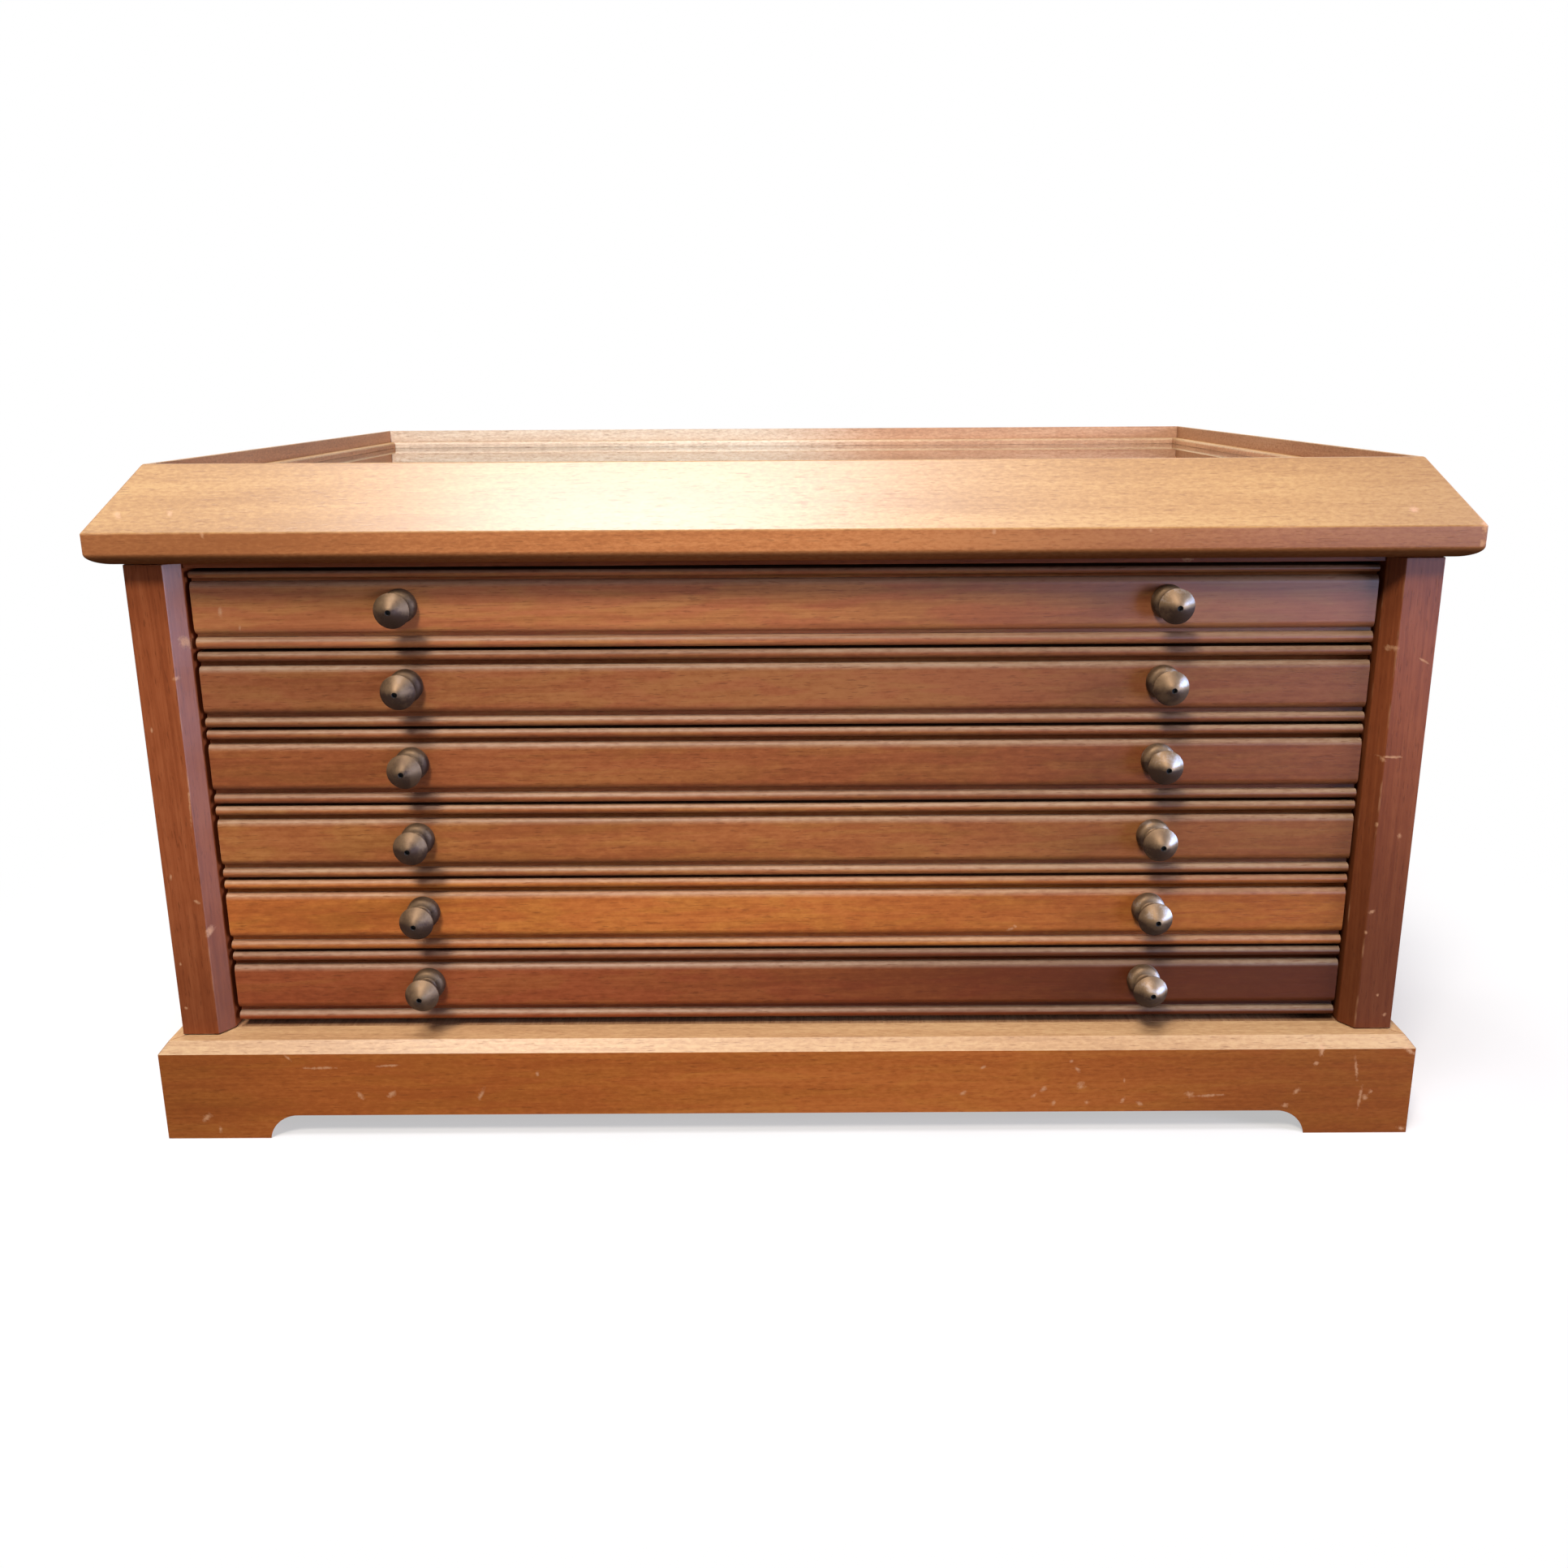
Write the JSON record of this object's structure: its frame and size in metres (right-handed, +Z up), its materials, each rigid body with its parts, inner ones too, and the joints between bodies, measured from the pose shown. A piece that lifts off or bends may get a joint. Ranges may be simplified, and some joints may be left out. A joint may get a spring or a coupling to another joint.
{
  "type": "coin cabinet",
  "caption": "Low mahogany coin cabinet: shallow moulded drawers with turned brass knobs and pocketed coin boards, under a hinged glazed display lid, on a bracket plinth.",
  "frame": {"origin": "on the floor, under the middle of the whole cabinet's box", "axes": "+Z up, -Y towards the drawer fronts, +X along the width to the right as seen from the front"},
  "size_m": [0.43, 0.3262, 0.2266],
  "materials": {
    "carcass_wood": "polished red-brown mahogany",
    "drawer_wood": "polished red-brown mahogany, worn on the mouldings",
    "lid_wood": "polished golden-brown mahogany",
    "plinth_wood": "polished orange-brown mahogany, scratched",
    "inner_wood": "plain unpolished hardwood",
    "tray_wood": "plain waxed hardwood",
    "coin_board_wood": "waxed mahogany",
    "felt": "deep red wool felt",
    "glass": "clear plate glass",
    "antique_brass": "dark antique brass, polished by handling",
    "hinge_brass": "dull brass"
  },
  "bodies": {
    "carcass": {"plinth_front": "plinth_wood", "plinth_back": "plinth_wood", "plinth_left": "plinth_wood", "plinth_right": "plinth_wood", "base_board": "inner_wood", "left_side": "carcass_wood", "right_side": "carcass_wood", "left_stile": "carcass_wood", "right_stile": "carcass_wood", "back_panel": "carcass_wood", "top_rail": "carcass_wood", "top_board": "inner_wood", "well_felt": "felt", "left_runner_board": "inner_wood", "right_runner_board": "inner_wood", "hinge_left_fixed_leaf": "hinge_brass", "hinge_left_pin": "hinge_brass", "hinge_right_fixed_leaf": "hinge_brass", "hinge_right_pin": "hinge_brass"},
    "drawer_1": {"drawer_1_front": "drawer_wood", "drawer_1_tray": "tray_wood", "drawer_1_coin_board": "coin_board_wood", "drawer_1_knob_left": "antique_brass", "drawer_1_knob_right": "antique_brass"},
    "drawer_2": {"drawer_2_front": "drawer_wood", "drawer_2_tray": "tray_wood", "drawer_2_coin_board": "coin_board_wood", "drawer_2_knob_left": "antique_brass", "drawer_2_knob_right": "antique_brass"},
    "drawer_3": {"drawer_3_front": "drawer_wood", "drawer_3_tray": "tray_wood", "drawer_3_coin_board": "coin_board_wood", "drawer_3_knob_left": "antique_brass", "drawer_3_knob_right": "antique_brass"},
    "drawer_4": {"drawer_4_front": "drawer_wood", "drawer_4_tray": "tray_wood", "drawer_4_coin_board": "coin_board_wood", "drawer_4_knob_left": "antique_brass", "drawer_4_knob_right": "antique_brass"},
    "drawer_5": {"drawer_5_front": "drawer_wood", "drawer_5_tray": "tray_wood", "drawer_5_coin_board": "coin_board_wood", "drawer_5_knob_left": "antique_brass", "drawer_5_knob_right": "antique_brass"},
    "drawer_6": {"drawer_6_front": "drawer_wood", "drawer_6_tray": "tray_wood", "drawer_6_coin_board": "coin_board_wood", "drawer_6_knob_left": "antique_brass", "drawer_6_knob_right": "antique_brass"},
    "lid": {"lid_rail_front": "lid_wood", "lid_rail_back": "lid_wood", "lid_rail_left": "lid_wood", "lid_rail_right": "lid_wood", "lid_glass": "glass", "glazing_bead_front": "lid_wood", "glazing_bead_back": "lid_wood", "glazing_bead_left": "lid_wood", "glazing_bead_right": "lid_wood", "hinge_left_moving_leaf": "hinge_brass", "hinge_right_moving_leaf": "hinge_brass"}
  },
  "joints": [
    {"name": "drawer_1_slide", "type": "slide", "parent": "carcass", "child": "drawer_1", "axis": [0, -1, 0], "range_m": [0, 0.2]},
    {"name": "drawer_2_slide", "type": "slide", "parent": "carcass", "child": "drawer_2", "axis": [0, -1, 0], "range_m": [0, 0.2]},
    {"name": "drawer_3_slide", "type": "slide", "parent": "carcass", "child": "drawer_3", "axis": [0, -1, 0], "range_m": [0, 0.2]},
    {"name": "drawer_4_slide", "type": "slide", "parent": "carcass", "child": "drawer_4", "axis": [0, -1, 0], "range_m": [0, 0.2]},
    {"name": "drawer_5_slide", "type": "slide", "parent": "carcass", "child": "drawer_5", "axis": [0, -1, 0], "range_m": [0, 0.2]},
    {"name": "drawer_6_slide", "type": "slide", "parent": "carcass", "child": "drawer_6", "axis": [0, -1, 0], "range_m": [0, 0.2]},
    {"name": "lid_hinge", "type": "hinge", "parent": "carcass", "child": "lid", "pos_m": [0, 0.1609, 0.19645], "axis": [-1, 0, 0], "range_deg": [0, 95]}
  ]
}
